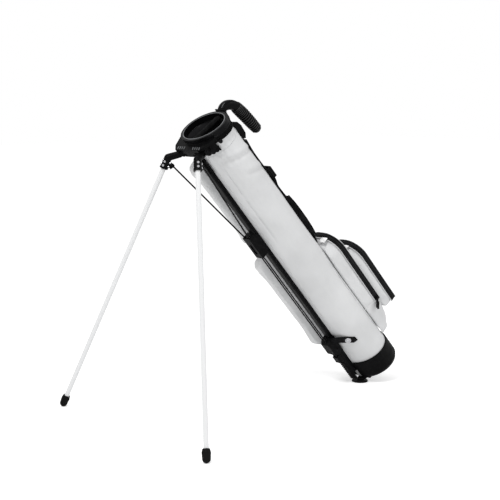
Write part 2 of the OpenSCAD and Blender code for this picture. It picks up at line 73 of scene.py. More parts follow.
# ---------- camera, light and floor ----------
camera_data = bpy.data.cameras.new("camera")
camera = bpy.data.objects.new("camera", camera_data)
scene.collection.objects.link(camera)
camera_data.sensor_width = 36
camera_data.lens = 83.08
camera_data.shift_x, camera_data.shift_y = 0.005, -0.0032
camera_data.clip_end = 50
camera.location = ((BASE_X - 2283.7) / 1000, -2.2002, 0.7871)
camera.rotation_euler = Vector((0.633, 0.763, -0.1325)).to_track_quat("-Z", "Y").to_euler()
scene.camera = camera

world = bpy.data.worlds.new("studio")
scene.world = world
world.use_nodes = True
world.node_tree.nodes["Background"].inputs["Color"].default_value = (1, 1, 1, 1)
# the camera sees a pure white backdrop, and the light that it gives is softer, so that folds show
BACKDROP_LIGHT = 0.68
sky = world.node_tree
rays = sky.nodes.new("ShaderNodeLightPath")
level = sky.nodes.new("ShaderNodeMapRange")
level.inputs["To Min"].default_value = BACKDROP_LIGHT
level.inputs["To Max"].default_value = 1.0
sky.links.new(rays.outputs["Is Camera Ray"], level.inputs["Value"])
sky.links.new(level.outputs["Result"], sky.nodes["Background"].inputs["Strength"])
scene.view_settings.view_transform = "Standard"


def area_light(name, place, target, size, power):
    data = bpy.data.lights.new(name, "AREA")
    data.size = size
    data.energy = power
    light = bpy.data.objects.new(name, data)
    scene.collection.objects.link(light)
    light.location = place
    light.rotation_euler = (Vector(target) - Vector(place)).to_track_quat("-Z", "Y").to_euler()


area_light("key_light", (-2.1, -0.9, 3.0), (0, 0, 0.3), 0.5, 48)
area_light("side_light", (1.9, -2.3, 1.9), (0, 0, 0.35), 0.8, 18)


# ---------- materials ----------
class Shader:
    """A node material with a Principled shader and a chain of bumps."""

    def __init__(self, name, color, roughness, metallic=0.0, coat=0.0, sheen=0.0, specular=0.12):
        self.mat = bpy.data.materials.new(name)
        self.mat.use_nodes = True
        self.tree = self.mat.node_tree
        self.bsdf = self.tree.nodes["Principled BSDF"]
        self.bsdf.inputs["Base Color"].default_value = (*color, 1)
        self.bsdf.inputs["Roughness"].default_value = roughness
        self.bsdf.inputs["Metallic"].default_value = metallic
        self.bsdf.inputs["Coat Weight"].default_value = coat
        self.bsdf.inputs["Coat Roughness"].default_value = 0.2
        self.bsdf.inputs["Sheen Weight"].default_value = sheen
        self.bsdf.inputs["Specular IOR Level"].default_value = specular
        self.bsdf.inputs["Coat IOR"].default_value = 1.35
        coord = self.node("ShaderNodeTexCoord")
        turn = self.node("ShaderNodeMapping")
        turn.inputs["Rotation"].default_value = (0, LEAN, 0)
        self.link(coord.outputs["Object"], turn.inputs["Vector"])
        self.place = turn.outputs["Vector"]
        self.normal = None

    def node(self, kind, **values):
        made = self.tree.nodes.new(kind)
        for key, value in values.items():
            setattr(made, key, value)
        return made

    def link(self, a, b):
        self.tree.links.new(a, b)

    def stretched(self, scale):
        made = self.node("ShaderNodeMapping")
        made.inputs["Scale"].default_value = scale
        self.link(self.place, made.inputs["Vector"])
        return made.outputs["Vector"]

    def noise(self, scale, detail=4.0, stretch=None):
        made = self.node("ShaderNodeTexNoise")
        made.inputs["Scale"].default_value = scale
        made.inputs["Detail"].default_value = detail
        self.link(self.stretched(stretch) if stretch else self.place, made.inputs["Vector"])
        return made.outputs["Fac"]

    def cells(self, scale):
        made = self.node("ShaderNodeTexVoronoi", feature="DISTANCE_TO_EDGE")
        made.inputs["Scale"].default_value = scale
        self.link(self.place, made.inputs["Vector"])
        return made.outputs["Distance"]

    def wave(self, scale, direction):
        made = self.node("ShaderNodeTexWave", wave_type="BANDS", bands_direction=direction)
        made.inputs["Scale"].default_value = scale
        self.link(self.place, made.inputs["Vector"])
        return made.outputs["Fac"]

    def ramp(self, source, low, high, a=0.35, b=0.65):
        made = self.node("ShaderNodeMapRange")
        made.inputs["From Min"].default_value = a
        made.inputs["From Max"].default_value = b
        made.inputs["To Min"].default_value = low
        made.inputs["To Max"].default_value = high
        self.link(source, made.inputs["Value"])
        return made.outputs["Result"]

    def bump(self, source, strength, distance):
        made = self.node("ShaderNodeBump")
        made.inputs["Strength"].default_value = strength
        made.inputs["Distance"].default_value = distance
        self.link(source, made.inputs["Height"])
        if self.normal:
            self.link(self.normal, made.inputs["Normal"])
        self.normal = made.outputs["Normal"]
        self.link(self.normal, self.bsdf.inputs["Normal"])

    def vary_color(self, source, dark, light):
        mix = self.node("ShaderNodeMix", data_type="RGBA")
        mix.inputs[6].default_value = (*dark, 1)
        mix.inputs[7].default_value = (*light, 1)
        self.link(source, mix.inputs[0])
        self.link(mix.outputs[2], self.bsdf.inputs["Base Color"])

    def vary_roughness(self, source, low, high):
        self.link(self.ramp(source, low, high), self.bsdf.inputs["Roughness"])


def leatherette(name, dark, light, roughness=0.42):
    sh = Shader(name, light, roughness, coat=0.12)
    sh.vary_color(sh.ramp(sh.noise(9, 5), 0, 1), dark, light)
    sh.vary_roughness(sh.noise(30, 4), roughness - 0.06, roughness + 0.1)
    sh.bump(sh.noise(16, 5, (1, 1, 0.45)), 0.35, 0.004)
    sh.bump(sh.cells(900), 0.25, 0.0004)
    sh.bump(sh.noise(1400, 3), 0.15, 0.0003)
    return sh.mat


def moulded(name, color, roughness, grain=0.25, coat=0.0):
    sh = Shader(name, color, roughness, coat=coat, specular=0.05)
    dark, light = tuple(c * 0.8 for c in color), tuple(c * 1.35 for c in color)
    sh.vary_color(sh.ramp(sh.noise(45, 5), 0, 1), dark, light)
    sh.vary_roughness(sh.noise(60, 5), roughness - 0.07, roughness + 0.1)
    sh.bump(sh.noise(1100, 3), grain, 0.0004)
    return sh.mat


def woven(name, color, pitch, strength, roughness=0.8):
    """pitch: threads per metre."""
    sh = Shader(name, color, roughness, sheen=0.02, specular=0.05)
    dark, light = tuple(c * 0.6 for c in color), tuple(c * 1.7 for c in color)
    sh.vary_color(sh.ramp(sh.noise(60, 6), 0, 1), dark, light)
    for direction in ("X", "Y", "Z"):
        sh.bump(sh.wave(pitch / 2, direction), strength, 0.0005)
    sh.bump(sh.noise(900, 4), 0.3, 0.0004)
    return sh.mat


def metal(name, color, roughness, metallic=1.0, coat=0.0, stretch=(1, 1, 0.02)):
    sh = Shader(name, color, roughness, metallic=metallic, coat=coat, specular=0.08)
    sh.vary_roughness(sh.noise(400, 4, stretch), roughness * 0.75, roughness * 1.35)
    sh.bump(sh.noise(900, 3, stretch), 0.08, 0.0002)
    return sh.mat


white = leatherette("white_leatherette", (0.63, 0.635, 0.64), (0.70, 0.705, 0.71))
lining = leatherette("body_lining", (0.008, 0.008, 0.009), (0.014, 0.014, 0.015), 0.8)
black = moulded("black_plastic", (0.0032, 0.0032, 0.0035), 0.36)
cup_black = moulded("base_cup_plastic", (0.0032, 0.0032, 0.0035), 0.5, 0.4)
rim_black = moulded("rim_plastic", (0.004, 0.004, 0.0045), 0.28, 0.12, 0.1)
# lighter grey for the crests of the grip's ribs, a painted highlight
rib_highlight_grey = moulded("rib_painted_highlight_rubber", (0.05, 0.05, 0.051), 0.3, 0.2)
# light grey that paints the highlights along the collar's lip and along the handle's elbow; the hood ribs
# use it as lettering
highlight_and_print_grey = moulded("rim_lip_painted_highlight", (0.16, 0.165, 0.17), 0.3, 0.1, 0.3)
rail_black = metal("rail_metal", (0.004, 0.004, 0.0045), 0.42, 0.05, 0.03)
rod_black = metal("rod_metal", (0.006, 0.006, 0.0065), 0.36, 0.3)
tube_white = metal("white_tube", (0.76, 0.765, 0.77), 0.25, 0.0, 0.3)
steel = metal("bright_steel", (0.62, 0.62, 0.64), 0.26)
chrome = metal("snap_chrome", (0.55, 0.55, 0.57), 0.2)
rubber = moulded("black_rubber", (0.006, 0.006, 0.006), 0.55, 0.5)
grip_rubber = moulded("grip_rubber", (0.003, 0.003, 0.003), 0.4, 0.3)
webbing = woven("black_webbing", (0.006, 0.006, 0.0065), 2600, 0.35)
mesh_cloth = woven("black_mesh", (0.009, 0.009, 0.0095), 1700, 0.5, 0.85)
tape = woven("zip_tape", (0.005, 0.005, 0.0055), 3200, 0.12, 0.34)
teeth = moulded("zip_teeth", (0.012, 0.012, 0.013), 0.3, 0.1)
tag_cloth = woven("tag_cloth", (0.78, 0.78, 0.78), 2400, 0.15, 0.7)
thread = woven("seam_thread", (0.46, 0.465, 0.47), 3000, 0.2, 0.7)
piping = leatherette("white_piping", (0.58, 0.585, 0.59), (0.70, 0.705, 0.71), 0.4)
black_thread = woven("black_thread", (0.02, 0.02, 0.021), 3000, 0.2, 0.6)

# the floor's own glow is only for the camera, so that it meets the backdrop without a line
FLOOR_GLOW = 0.38
floor_shader = Shader("studio_floor", (1.0, 1.0, 1.0), 0.9, specular=0.0)
floor_cloud = floor_shader.ramp(floor_shader.noise(3, 2), 0, 1)
floor_shader.vary_color(floor_cloud, (0.985, 0.985, 0.985), (1.0, 1.0, 1.0))
floor_shader.bsdf.inputs["Emission Color"].default_value = (1, 1, 1, 1)
floor_rays = floor_shader.node("ShaderNodeLightPath")
floor_glow = floor_shader.node("ShaderNodeMapRange")
floor_glow.inputs["To Min"].default_value = 0.0
floor_glow.inputs["To Max"].default_value = FLOOR_GLOW
floor_shader.link(floor_rays.outputs["Is Camera Ray"], floor_glow.inputs["Value"])
floor_shader.link(floor_glow.outputs["Result"], floor_shader.bsdf.inputs["Emission Strength"])
floor_mesh = bpy.data.meshes.new("floor")
floor_mesh.from_pydata([(-14, -14, 0), (14, -14, 0), (14, 14, 0), (-14, 14, 0)], [], [(0, 1, 2, 3)])
floor = bpy.data.objects.new("floor", floor_mesh)
floor_mesh.materials.append(floor_shader.mat)
scene.collection.objects.link(floor)


# ---------- carried-over CAD nodes ----------
def dress(names, material, bevel=0.0):
    for name in names:
        obj = nodes[name]
        obj.data.materials.clear()
        obj.data.materials.append(material)
        if bevel:
            mod = obj.modifiers.new("soft_edges", "BEVEL")
            mod.width = bevel
            mod.segments = 2
            mod.limit_method = "ANGLE"
            mod.angle_limit = math.radians(38)


dress(["collar_skirt", "stand_head", "knuckle_near", "knuckle_far"], black, 0.0007)
dress(["slider_block", "push_link"], black, 0.0007)
dress(["clip_block", "strap_hub", "rocker_foot", "strap_buckle"], black, 0.0012)
dress(["collar_rim"], rim_black, 0.0018)
dress(["collar_button"], rim_black, 0.0006)
dress(["base_cup"], cup_black, 0.001)
dress(["spine_rail"], rail_black, 0.0008)
dress(["push_rods", "upper_rod_near", "upper_rod_far"], rod_black)
dress(["leg_tube_near", "leg_tube_far"], tube_white)
dress(["leg_foot_near", "leg_foot_far", "base_bumpers", "rail_band", "rocker_pad"], rubber, 0.0006)
dress(["socket_rivets_near", "socket_rivets_far", "foot_pin", "handle_screws"], steel, 0.0003)
dress(["hinge_pin_near", "hinge_pin_far", "clip_screws"], rod_black, 0.0003)
dress(["strap_snap"], chrome, 0.0006)
dress(["zip_slider_main", "zip_slider_outer"], rod_black, 0.0004)
dress(["zip_pull_main", "zip_pull_outer"], rubber, 0.0006)
dress(["head_lug"], webbing, 0.0004)
dress(["zip_tags"], tag_cloth, 0.0004)


# ---------- mesh helpers ----------
def add_mesh(name, verts, faces, material, body="bag", slot=None, subdiv=0, smooth=True):
    mesh = bpy.data.meshes.new(name)
    mesh.from_pydata(verts, [], faces)
    mesh.validate()
    bm = bmesh.new()
    bm.from_mesh(mesh)
    bmesh.ops.recalc_face_normals(bm, faces=bm.faces)
    bm.to_mesh(mesh)
    bm.free()
    for poly in mesh.polygons:
        poly.use_smooth = smooth
    mesh.materials.append(material)
    obj = bpy.data.objects.new(name, mesh)
    scene.collection.objects.link(obj)
    if subdiv:
        mod = obj.modifiers.new("smooth", "SUBSURF")
        mod.levels = mod.render_levels = subdiv
    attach(obj, body)
    return obj


def grid_faces(rows, columns, closed_rows=False, closed_columns=True):
    faces = []
    for i in range(rows if closed_rows else rows - 1):
        for j in range(columns if closed_columns else columns - 1):
            a, b = i * columns + j, i * columns + (j + 1) % columns
            c, d = ((i + 1) % rows) * columns + (j + 1) % columns, ((i + 1) % rows) * columns + j
            faces.append((a, b, c, d))
    return faces


def spline(points, count):
    """Catmull-Rom curve through the points, evenly in parameter."""
    pts = [Vector(p) for p in points]
    pts = [2 * pts[0] - pts[1]] + pts + [2 * pts[-1] - pts[-2]]
    spans = len(pts) - 3
    out = []
    for k in range(count):
        t = spans * k / (count - 1)
        i = min(int(t), spans - 1)
        t -= i
        a, b, c, d = pts[i:i + 4]
        square, cube = 2 * a - 5 * b + 4 * c - d, 3 * b - a - 3 * c + d
        out.append(0.5 * (2 * b + (c - a) * t + square * t ** 2 + cube * t ** 3))
    return out


def sweep(name, path, sides, profile, material, closed=False, **more):
    """profile(k, t) gives the ring at path point k; sides[k] is the width direction there."""
    verts, ring_size, count = [], 0, len(path)
    for k, p in enumerate(path):
        ahead = path[(k + 1) % count] if closed or k < count - 1 else p
        behind = path[k - 1] if closed or k else p
        along = (ahead - behind).normalized()
        side = sides[k] if isinstance(sides, list) else sides
        side = (side - along * side.dot(along)).normalized()
        out = along.cross(side)
        ring = profile(k, k / (count - 1))
        ring_size = len(ring)
        for u, v in ring:
            q = p + side * u + out * v
            verts.append(bag(*q))
    faces = grid_faces(count, ring_size, closed_rows=closed)
    if not closed:
        faces += [tuple(range(ring_size)), tuple(range((count - 1) * ring_size, count * ring_size))]
    return add_mesh(name, verts, faces, material, **more)


def circle_ring(radius, count=10):
    turns = [2 * math.pi * i / count for i in range(count)]
    return [(radius * math.cos(w), radius * math.sin(w)) for w in turns]


def strap_ring(width, thick, crown=0.0):
    """Flat webbing cross-section with rounded edges."""
    half = width / 2
    steps = [-1, -0.96, -0.6, 0, 0.6, 0.96, 1]
    levels = [(a, thick * (0.5 if abs(a) < 0.97 else 0.15), crown * (1 - a * a)) for a in steps]
    top = [(half * a, level + rise) for a, level, rise in levels]
    low = [(half * a, -level + rise) for a, level, rise in reversed(levels)]
    return top + low


def tube_line(name, points, radius, material, closed=False, side=Vector((0, 0, 1)), **more):
    return sweep(name, points, side, lambda k, t: circle_ring(radius, 8), material, closed=closed, **more)


def stitches(name, points, normals, material, length=3.2, pitch=4.8, radius=0.45):
    """Thread dashes laid along a seam."""
    verts, faces = [], []
    travelled, next_at = 0.0, 0.0
    for k in range(len(points) - 1):
        a, b = points[k], points[k + 1]
        step = (b - a).length
        while step > 0 and next_at <= travelled + step:
            along = (b - a) / step
            mid = a + along * (next_at - travelled)
            out = normals[k].normalized()
            side = along.cross(out).normalized()
            base = len(verts)
            for t, r in ((-0.5, 0.2), (-0.3, 1), (0.3, 1), (0.5, 0.2)):
                for i in range(6):
                    w = 2 * math.pi * i / 6
                    q = mid + along * (t * length) + (side * math.cos(w) + out * math.sin(w)) * radius * r
                    verts.append(bag(*q))
            for row in range(3):
                for i in range(6):
                    j = (i + 1) % 6
                    low, high = base + row * 6, base + row * 6 + 6
                    faces.append((low + i, low + j, high + j, high + i))
            faces.append(tuple(base + i for i in range(6)))
            faces.append(tuple(base + 18 + i for i in range(6)))
            next_at += pitch
        travelled += step
    return add_mesh(name, verts, faces, material)


# ---------- the soft white body ----------
# tucks that run down from the collar: (angle in degrees, depth in mm, width in degrees)
TUCKS = ((206, 1.5, 3.2), (221, 2.1, 3.0), (236, 1.7, 3.6), (252, 1.2, 3.4),
         (272, 1.0, 4.0), (300, 1.1, 4.0), (150, 1.4, 3.5), (120, 1.2, 4.0))
DEEPEST_CREASE, HIGHEST_CREASE = -2.3, 2.6


def crease(s, a):
    """Distance that the body's skin stands out at height s and angle a, in mm (angle 180 faces the legs)."""
    d = 1.1 * noise.noise(Vector((math.cos(a) * 1.6, math.sin(a) * 1.6, s / 95)))
    d += 0.45 * noise.noise(Vector((math.cos(a) * 5, math.sin(a) * 5, s / 30 + 7)))
    deg = math.degrees(a) % 360
    under_collar = ease(s, 740, 835)
    for centre, depth, width in TUCKS:
        lean_in = centre + (850 - s) * 0.05
        d -= depth * under_collar * bump_at(deg, lean_in, width)
    along, reach = s - (812 - 0.36 * (deg - 215)), ease(deg, 205, 225) * (1 - ease(deg, 318, 335))
    d += (2.4 * bump_at(along, 13, 8) - 3.2 * bump_at(along, 0, 6)) * reach
    along, reach = s - (742 - 0.5 * (deg - 262)), ease(deg, 248, 268) * (1 - ease(deg, 318, 332))
    d += (1.9 * bump_at(along, 13, 9) - 2.4 * bump_at(along, 0, 7)) * reach
    for k in range(4):
        d += 1.3 * bump_at(s, 716 + 9 * k + 0.006 * (deg - 255) ** 2, 2.4) * bump_at(deg, 255, 16)
    d -= 2.0 * bump_at(deg, 215, 2.2) * ease(s, 500, 600) * (1 - ease(s, 775, 800))
    d -= 1.1 * bump_at(s, 66 + 5, 7)
    d -= 0.8 * bump_at(s, 846, 5)
    return max(DEEPEST_CREASE, min(d, HIGHEST_CREASE)) * ease(s, 62, 80)


def skin(s, a, out=0.0):
    d = crease(s, a) + out
    return Vector(((body_n(s) + d) * math.cos(a), (body_y(s) + d) * math.sin(a), s))


def build_body():
    around, rows = 144, 150
    verts = []
    for i in range(rows):
        s = 8.3 + (TOP_S - 8.6) * i / (rows - 1)
        for j in range(around):
            a = 2 * math.pi * j / around
            p = skin(s, a)
            if i == rows - 1:
                p.z -= p.x * math.tan(TILT)
            elif s > TOP_S - 30:
                p.z -= p.x * math.tan(TILT) * (s - TOP_S + 30) / 30
            verts.append(bag(*p))
    outer = len(verts)
    inner_rows = [TOP_S, TOP_S - 40, TOP_S - 200, TOP_S - 450, TOP_S - 700, 13]
    for s in inner_rows:
        for j in range(around):
            a = 2 * math.pi * j / around
            x, y = (body_n(s) - 3) * math.cos(a), (body_y(s) - 3) * math.sin(a)
            drop = x * math.tan(TILT) if s == TOP_S else 0
            verts.append(bag(x, y, s - drop))
    faces = grid_faces(rows + len(inner_rows), around)
    faces.append(tuple(reversed(range(around))))
    faces.append(tuple(range(len(verts) - around, len(verts))))
    body = add_mesh("body_sleeve", verts, faces, white, slot="white_leatherette")
    body.data.materials.append(lining)
    for poly in body.data.polygons:
        if min(poly.vertices) >= outer:
            poly.material_index = 1
    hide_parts("bag_body")


build_body()


def body_line(samples, lift=0.3, count=80):
    """Points on the body's skin through (s, angle in degrees) samples, with their outward directions."""
    path = spline([(s, a, 0) for s, a in samples], count)
    points = [skin(p.x, math.radians(p.y), lift) for p in path]
    normals = [Vector((math.cos(math.radians(p.y)), math.sin(math.radians(p.y)), 0)) for p in path]
    return points, normals


for name, samples in (
    ("dart_stitch", [(790, 215), (700, 216), (590, 217)]),
    ("rail_stitch_near", [(835, 196), (600, 197), (380, 197), (90, 197)]),
    ("rail_stitch_far", [(835, 164), (600, 163), (380, 163), (90, 163)]),
    ("side_stitch_near", [(835, 318), (600, 318), (455, 316)]),
    ("hem_stitch", [(835, 200), (836, 250), (836, 300), (835, 340)]),
):
    seam_points, seam_normals = body_line(samples, count=220)
    stitches(name, seam_points, seam_normals, thread, radius=0.4)


# a second pair of rivets, a quarter turn round each leg socket
for end in ("near", "far"):
    tube = [v.co for v in nodes["leg_tube_" + end].data.vertices]
    high, low = max(v.z for v in tube), min(v.z for v in tube)
    top = [v for v in tube if v.z > high - 0.03 * (high - low)]
    foot = [v for v in tube if v.z < low + 0.03 * (high - low)]
    top_mid, foot_mid = sum(top, Vector()) / len(top), sum(foot, Vector()) / len(foot)
    turn = Matrix.Rotation(math.pi / 2, 3, top_mid - foot_mid)
    rivets = nodes["socket_rivets_" + end].data.copy()
    rivets.name = "front_rivets_" + end
    for v in rivets.vertices:
        v.co = turn @ (v.co - foot_mid) + foot_mid
    front = bpy.data.objects.new("front_rivets_" + end, rivets)
    scene.collection.objects.link(front)
    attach(front, "leg_" + end)


# ---------- padded pockets and pads ----------
def puff(node, name, material, cap, voxel=0.006, shrink=0.002, pressure=4.0, subdiv=1):
    """A cloth-inflated copy of a CAD soft solid; cap(x, y, s) limits its swelling, in mm."""
    source = nodes[node]
    mesh = source.data.copy()
    obj = bpy.data.objects.new(name, mesh)
    scene.collection.objects.link(obj)
    remesh = obj.modifiers.new("remesh", "REMESH")
    remesh.mode = "VOXEL"
    remesh.voxel_size = voxel
    deps = bpy.context.evaluated_depsgraph_get()
    solid = bpy.data.meshes.new_from_object(obj.evaluated_get(deps))
    obj.modifiers.clear()
    obj.data = solid
    for v in solid.vertices:
        v.co -= v.normal * shrink
    start = [v.co.copy() for v in solid.vertices]
    normals = [v.normal.copy() for v in solid.vertices]
    cloth = obj.modifiers.new("cloth", "CLOTH")
    settings = cloth.settings
    settings.use_pressure = True
    settings.uniform_pressure_force = pressure
    settings.quality = 6
    settings.mass = 0.3
    settings.tension_stiffness = 18
    settings.compression_stiffness = 18
    settings.bending_stiffness = 1.5
    settings.effector_weights.gravity = 0
    cloth.point_cache.frame_start = 1
    cloth.point_cache.frame_end = 20
    for frame_number in range(1, 21):
        scene.frame_set(frame_number)
    deps = bpy.context.evaluated_depsgraph_get()
    soft = obj.evaluated_get(deps).data
    moved = [v.co.copy() for v in soft.vertices]
    obj.modifiers.clear()
    scene.frame_set(1)
    for v, before, after, out in zip(solid.vertices, start, moved, normals):
        dx, dz = before.x * 1000 - BASE_X, before.z * 1000 - BASE_Z
        x = dx * math.cos(LEAN) + dz * math.sin(LEAN)
        s = -dx * math.sin(LEAN) + dz * math.cos(LEAN)
        limit = cap(x, before.y * 1000, s) / 1000
        move = after - before
        if move.length > limit:
            move = move * (limit / move.length)
        wrinkle = noise.noise(Vector((before.x * 38, before.y * 38, before.z * 38)))
        wrinkle += 0.5 * noise.noise(Vector((x / 9, before.y * 60, s / 34)))
        v.co = before + move + out * wrinkle * 0.0007 * min(1.0, limit / 0.003)
    for poly in solid.polygons:
        poly.use_smooth = True
    solid.materials.clear()
    solid.materials.append(material)
    relax = obj.modifiers.new("relax", "SMOOTH")
    relax.factor = 0.5
    relax.iterations = 3
    if subdiv:
        mod = obj.modifiers.new("smooth", "SUBSURF")
        mod.levels = mod.render_levels = subdiv
    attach(obj, "bag")
    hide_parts(node)
    return obj


MAIN_OUT, MAIN_TOP, MAIN_HALF = 99, 413, 53
OUTER_OUT, OUTER_TOP, OUTER_HALF = 144, 338, 50


def main_cap(x, y, s):
    if abs(y) > MAIN_HALF - 6 or s > MAIN_TOP - 8:
        return 2.2 if x > MAIN_OUT - 19 else 2.2 + 3.0 * ease(MAIN_OUT - 17 - x, 0, 14) * ease(s, 90, 160)
    if x > MAIN_OUT - 5:
        return 2.2 + 6.5 * ease(s, 345, 375) * (1 - ease(s, 385, 405)) * (1 - (y / 55) ** 2)
    return 2.2


def outer_cap(x, y, s):
    if x > OUTER_OUT - 5:
        return 2.2 + 7 * max(0, 1 - (y / 48) ** 2) * ease(s, 122, 175) * (1 - ease(s, 290, 334))
    if abs(y) > OUTER_HALF - 6 or s > OUTER_TOP - 8:
        return 2.2 if x > OUTER_OUT - 19 else 2.2 + 2.5 * ease(OUTER_OUT - 17 - x, 0, 10)
    return 2.2


puff("pocket_main", "ball_pocket_main", white, main_cap)
puff("pocket_outer", "ball_pocket_outer", white, outer_cap)
puff("side_pocket_upper", "far_pocket_upper", white,
     lambda x, y, s: 2.2 + (5 * ease(s, 520, 580) * (1 - ease(s, 740, 800)) if y > 86 else 0))
puff("side_pocket_lower", "far_pocket_lower", white,
     lambda x, y, s: 2.2 + (5 * ease(s, 135, 190) * (1 - ease(s, 400, 462)) if y > 90 else 0))
shoulder = puff("shoulder_pad", "shoulder_padding", mesh_cloth,
                lambda x, y, s: 2.2 + 4.0 * max(0, 1 - (y / 27) ** 2), voxel=0.004)


def pocket_path(s_low, s_high, half, x, grow=0.0, corner=44, step=4.0):
    """Up one side of a pocket's outline, round its top and down the other."""
    r = corner + grow
    points = []
    side = half + grow
    rise = s_high + grow - r - s_low
    for k in range(int(rise / step) + 1):
        points.append(Vector((x, -side, s_low + rise * k / int(rise / step))))
    for k in range(1, 13):
        w = math.pi / 2 * k / 12
        points.append(Vector((x, -side + r - r * math.cos(w), s_high + grow - r + r * math.sin(w))))
    flat = 2 * (side - r)
    for k in range(1, 9):
        points.append(Vector((x, -side + r + flat * k / 8, s_high + grow)))
    for k in range(1, 13):
        w = math.pi / 2 * k / 12
        points.append(Vector((x, side - r + r * math.sin(w), s_high + grow - r + r * math.cos(w))))
    for k in range(1, int(rise / step) + 1):
        points.append(Vector((x, side, s_low + rise * (1 - k / int(rise / step)))))
    return points


def resample(points, pitch):
    out, carry = [points[0]], 0.0
    for a, b in zip(points, points[1:]):
        length = (b - a).length
        at = pitch - carry
        while at <= length:
            out.append(a.lerp(b, at / length))
            at += pitch
        carry = length - (at - pitch)
    return out


X_AXIS, Y_AXIS, Z_AXIS = Vector((1, 0, 0)), Vector((0, 1, 0)), Vector((0, 0, 1))


def zip_band(name, node, s_low, s_high, half, x, width=17):
    path = pocket_path(s_low, s_high, half, x, 1.5)
    band = sweep(name, path, X_AXIS, lambda k, t: strap_ring(width, 2.6, 0.35), tape, slot="zip_tape")
    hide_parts(node)
    coil = resample(pocket_path(s_low + 1, s_high, half, x, 3.0), 1.1)
    sweep(name + "_teeth", coil, X_AXIS,
          lambda k, t: [(u * 1.7, v * (0.75 if k % 2 else 0.45)) for u, v in circle_ring(1.0, 8)], teeth)
    for edge in (-1, 1):
        rim = pocket_path(s_low - 2, s_high, half, x + edge * (width / 2 + 0.6), 1.3)
        place = "_in" if edge < 0 else "_out"
        tube_line(name + "_piping" + place, rim, 1.3, piping, side=X_AXIS)
        stitch = pocket_path(s_low, s_high, half, x + edge * (width / 2 - 1.6), 3.1)
        outward = []
        for k, p in enumerate(stitch):
            ahead = stitch[min(k + 1, len(stitch) - 1)] - stitch[max(k - 1, 0)]
            outward.append(X_AXIS.cross(ahead) * -1)
        stitches(name + "_stitch" + place, stitch, outward, black_thread, 2.2, 3.6, 0.3)


zip_band("main_zip_band", "zip_tape_main", 168, MAIN_TOP, MAIN_HALF, MAIN_OUT - 8)
zip_band("outer_zip_band", "zip_tape_outer", 122, OUTER_TOP, OUTER_HALF, OUTER_OUT - 8)

for name, low, high, x, y in (("upper", 540, 780, 2.5, 96.0), ("lower", 160, 440, 0.5, 101.0)):
    path = [Vector((x, y, low + (high - low) * k / 40)) for k in range(41)]
    side_band = sweep("far_zip_band_" + name, path, X_AXIS,
                      lambda k, t: strap_ring(13, 1.8, -0.2), tape, slot="zip_tape")
    if name == "upper":
        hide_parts("side_zip_tapes")
    sweep("far_zip_teeth_" + name, resample(path, 1.1), X_AXIS,
          lambda k, t: [(u * 1.6, v * (0.8 if k % 2 else 0.5) - 1.0) for u, v in circle_ring(1.0, 8)], teeth)

# the seams that sew the inner ball pocket to the body, near and far
for name, samples in (
    ("pocket_seam_near", [(MAIN_TOP - 2, 318), (330, 309), (255, 306), (150, 309), (80, 318)]),
    ("pocket_seam_far", [(MAIN_TOP - 2, 42), (330, 51), (255, 54), (150, 51), (80, 42)]),
):
    seam_points, seam_normals = body_line(samples, 0.6, 60)
    tube_line(name, seam_points, 0.8, piping, side=X_AXIS)
    seam_points, seam_normals = body_line([(s, a - 3 if a > 180 else a + 3) for s, a in samples], 0.3, 200)
    stitches(name + "_stitch", seam_points, seam_normals, thread, radius=0.35)

v_seam = spline([(40, -54.6, 184), (58, -55.9, 181), (84, -55.6, 172)], 24)
tube_line("pocket_v_seam", v_seam, 0.8, piping, side=Y_AXIS)

# ---------- handle ----------
GRIP_RIBS, STEPS_PER_RIB = 18, 8
GRIP_ROUTE = ((102.5, 0, 861), (105, 0, 847), (108.5, 0, 830), (112, 0, 806), (115, 0, 784), (118, 0, 765))
grip_line = spline(GRIP_ROUTE, GRIP_RIBS * STEPS_PER_RIB + 1)


def oval_ring(wide, thick, count=28, square=2.6):
    ring = []
    for i in range(count):
        w = 2 * math.pi * i / count
        c, s = math.cos(w), math.sin(w)
        u, v = math.copysign(abs(c) ** (2 / square), c), math.copysign(abs(s) ** (2 / square), s)
        ring.append((u * wide, v * thick))
    return ring


def grip_radius(t):
    """Radius of the grip's core, which is fullest a little above its middle."""
    return 10.0 + 3.6 * math.sin(math.pi * min(1, 0.15 + 0.85 * t)) ** 0.8


def grip_ring(k, t):
    near_end = min(t / 0.02, (1 - t) / 0.07, 1)
    rib = abs(math.sin(math.pi * GRIP_RIBS * t)) ** 0.5
    radius = (grip_radius(t) + 1.7 * rib) * (0.5 + 0.5 * max(0, near_end) ** 0.5)
    return oval_ring(radius * 0.98, radius, square=2.1)


grip = sweep("ribbed_grip", grip_line, Y_AXIS, grip_ring, grip_rubber, slot="black_rubber")
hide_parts("handle_grip")


def build_grip_ribs(around=32, crest=0.7, half_width=0.9):
    """Thin raised rings on the crests of the grip, coloured lighter than the grip as a painted highlight on
    them.
    """
    verts, faces = [], []
    for rib in range(GRIP_RIBS - 2):
        k = round((rib + 1.5) * STEPS_PER_RIB)
        centre, ahead = grip_line[k], (grip_line[k + 1] - grip_line[k - 1]).normalized()
        outward = ahead.cross(Y_AXIS).normalized()
        reach = grip_radius(k / (GRIP_RIBS * STEPS_PER_RIB)) + 1.75
        for i in range(around):
            w = 2 * math.pi * i / around
            for u, v in ((half_width, 0.0), (0.0, crest), (-half_width, 0.0)):
                q = centre + Y_AXIS * (math.cos(w) * (reach * 0.98 + v))
                q = q + outward * (math.sin(w) * (reach + v)) + ahead * u
                verts.append(bag(*q))
            b, n = (rib * around + i) * 3, (rib * around + (i + 1) % around) * 3
            faces += [(b, n, n + 1, b + 1), (b + 1, n + 1, n + 2, b + 2), (b + 2, n + 2, n, b)]
    add_mesh("grip_ribs", verts, faces, rib_highlight_grey)


build_grip_ribs()

